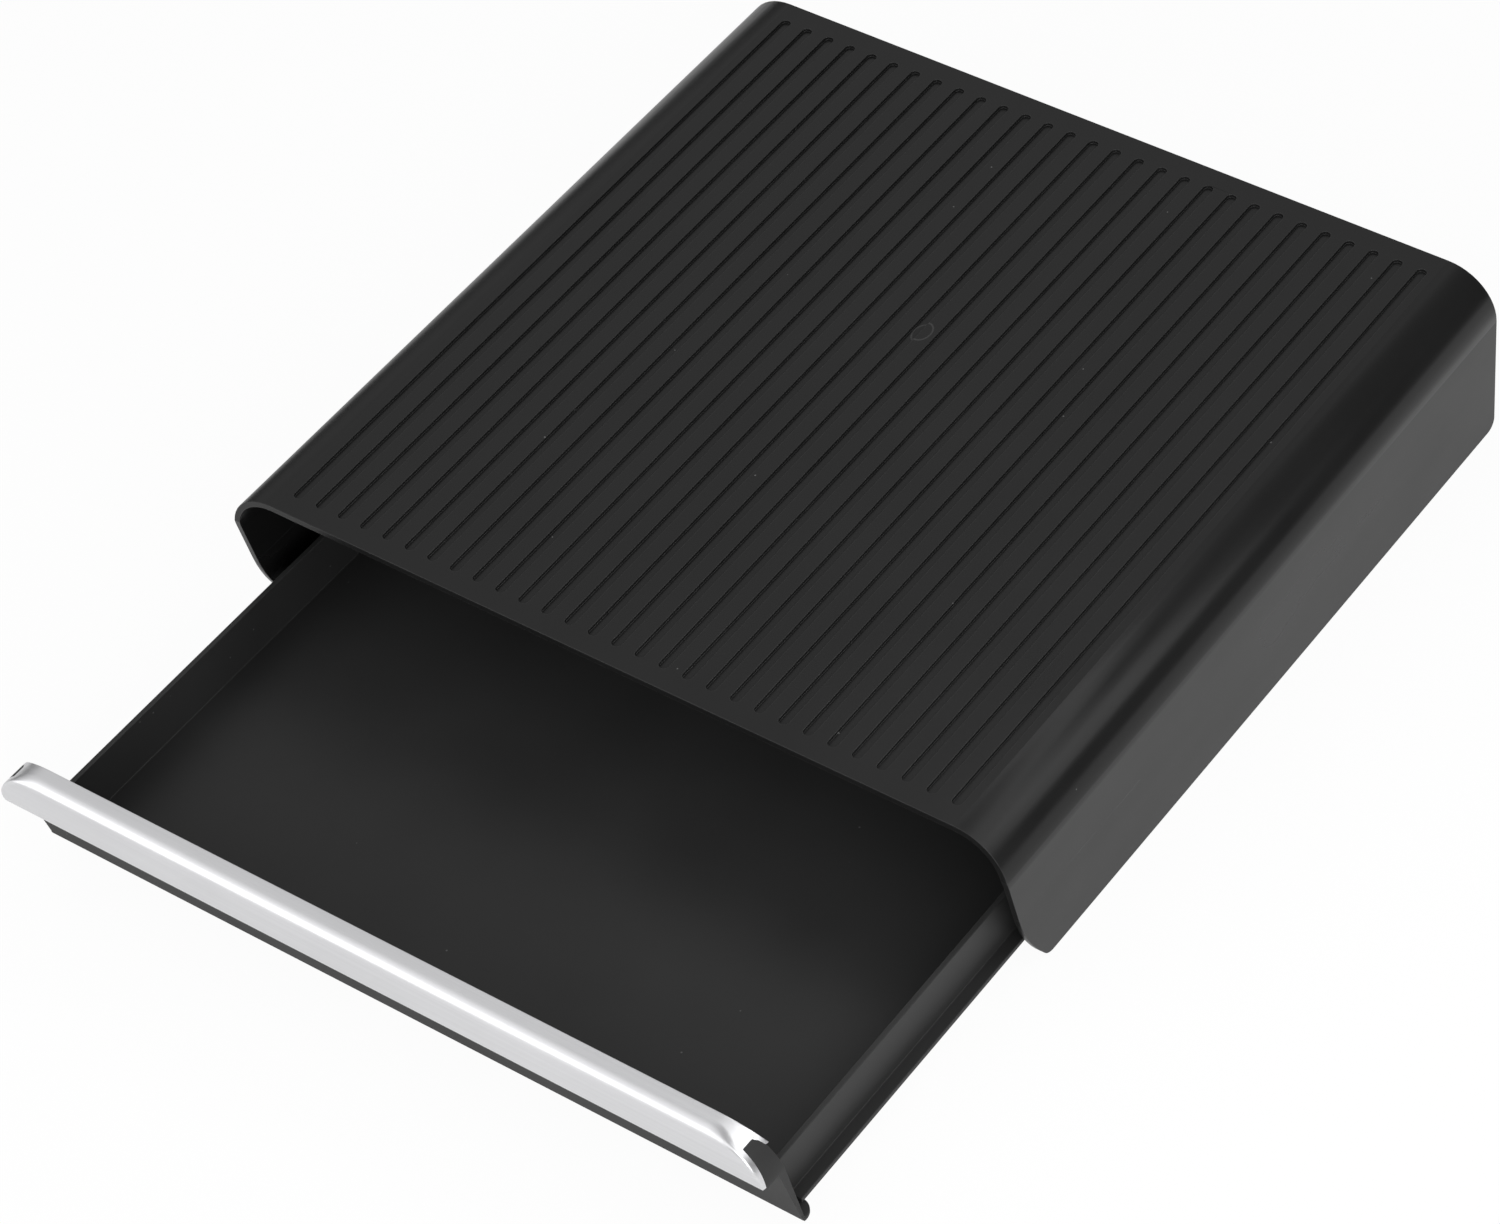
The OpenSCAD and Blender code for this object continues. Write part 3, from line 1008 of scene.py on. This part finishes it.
@dataclass(frozen=True)
class Studio:
    """Pale floor, soft light, and the camera that was fitted to the photograph.

    The directions in the world's fields are the parts of a unit vector: a height of 1 is
    straight up, -X is left and -Y is the front.
    """

    floor_size: float = 1.6
    floor_shade: float = 0.86
    floor_roughness: float = 0.9
    floor_glow: float = 0.95
    mirror_glow: float = 0.65

    world_level: float = 0.79
    world_height: float = 0.62
    horizon_level: float = 0.06
    right_share: float = 0.25
    left_full: float = -0.4
    front_starts: float = -0.15
    front_full: float = -0.5
    front_share: float = 1.75
    front_fade: float = 0.95
    front_fade_heights: tuple[float, float] = (0.15, 0.75)

    camera_place: Point = (0.840952, -0.997025, 1.349354)
    camera_aim: Point = (-0.453694, 0.532819, -0.714329)
    camera_roll: float = math.radians(-6.822)
    focal_pixels: float = 5289.234
    image_width: float = 1500
    sensor_width: float = 36
    far_clip: float = 50

    def background(self, shader: Shader) -> Signal:
        """Returns how far a ray sees a plain white background in place of the lit floor.

        Args:
            shader: the floor's material.

        Returns:
            1 where only the background is seen, and 0 where only the floor is.
        """
        rays = shader.node("ShaderNodeLightPath", {}, {})
        camera, glossy, through = (
            Signal(shader, rays.outputs[f"Is {kind} Ray"])
            for kind in ("Camera", "Glossy", "Transmission")
        )
        mirrored = shader.math("MAXIMUM", glossy, through) * self.mirror_glow
        return shader.math("MAXIMUM", camera * self.floor_glow, mirrored)

    def build_floor(self) -> None:
        """Adds the white floor, which keeps the object's shadow."""
        half = self.floor_size / 2
        corners = [(x * half, y * half, 0) for x, y in ((-1, -1), (1, -1), (1, 1), (-1, 1))]
        mesh = bpy.data.meshes.new("Floor")
        mesh.from_pydata(corners, [], [(0, 1, 2, 3)])
        floor = bpy.data.objects.new("Floor", mesh)
        bpy.context.scene.collection.objects.link(floor)
        shader = Shader("Floor")
        shade = self.floor_shade
        shader.set(
            Base_Color=(shade, shade, shade, 1), Roughness=self.floor_roughness, Specular_IOR_Level=0.0
        )
        glow = shader.node("ShaderNodeEmission", {}, {"Color": (1, 1, 1, 1), "Strength": 1.0})
        mixed = shader.node(
            "ShaderNodeMixShader",
            {},
            {0: self.background(shader), 1: shader.surface.outputs[0], 2: glow.outputs[0]},
        )
        shader.feed(shader.tree.nodes["Material Output"].inputs["Surface"], mixed.outputs[0])
        mesh.materials.append(shader.material)

    def surroundings(self, nodes: Nodes) -> Signal:
        """Returns the light from each direction: brighter above, to the left and low in front.

        Args:
            nodes: the world's tree.

        Returns:
            The radiance.
        """
        direction = nodes.node("ShaderNodeTexCoord", {}, {}).outputs["Generated"]
        axes = nodes.node("ShaderNodeSeparateXYZ", {}, {0: direction}).outputs
        height = Signal(nodes, axes["Z"])
        left = Signal(nodes, axes["X"]).ramp(0.0, self.left_full)
        front = Signal(nodes, axes["Y"]).ramp(self.front_starts, self.front_full)
        side = self.right_share + (1 - self.right_share) * left
        glow = self.front_share - self.front_fade * height.ramp(*self.front_fade_heights)
        above = height.ramp(0.0, self.world_height) * side
        lift = nodes.math("MAXIMUM", above, front * left * glow)
        return self.horizon_level + (self.world_level - self.horizon_level) * lift

    def build_world(self) -> None:
        """Sets the surrounding light, which is plain white to the camera."""
        world = bpy.data.worlds.new("Studio")
        world.use_nodes = True
        bpy.context.scene.world = world
        nodes = Nodes(world.node_tree)
        level = self.surroundings(nodes)
        rays = nodes.node("ShaderNodeLightPath", {}, {})
        camera = Signal(nodes, rays.outputs["Is Camera Ray"])
        surface = nodes.tree.nodes["Background"]
        nodes.feed(surface.inputs["Color"], (1, 1, 1, 1))
        nodes.feed(surface.inputs["Strength"], nodes.math("MAXIMUM", level, camera))

    def build_camera(self) -> None:
        """Adds the camera at the photograph's angle."""
        data = bpy.data.cameras.new("Camera")
        data.sensor_width = self.sensor_width
        data.lens = self.focal_pixels / self.image_width * self.sensor_width
        data.clip_end = self.far_clip
        camera = bpy.data.objects.new("Camera", data)
        bpy.context.scene.collection.objects.link(camera)
        aim = Vector(self.camera_aim).to_track_quat("-Z", "Y")
        roll = Quaternion(Vector((0, 0, 1)), self.camera_roll)
        camera.matrix_world = Matrix.Translation(self.camera_place) @ (aim @ roll).to_matrix().to_4x4()
        bpy.context.scene.camera = camera

    def build(self) -> None:
        """Builds the whole studio."""
        self.build_camera()
        self.build_floor()
        self.build_world()
        for lamp in LAMPS:
            lamp.build()
        bpy.context.scene.view_settings.view_transform = "Standard"


def main() -> None:
    """Builds every sub-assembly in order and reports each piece."""
    logging.basicConfig(level=logging.INFO, format="%(message)s")
    Studio().build()
    for assembly in (Cover(), Drawer()):
        for piece in assembly.build():
            LOG.info("%s: %s is ready", assembly.body.value, piece.name)


if __name__ == "__main__":
    main()
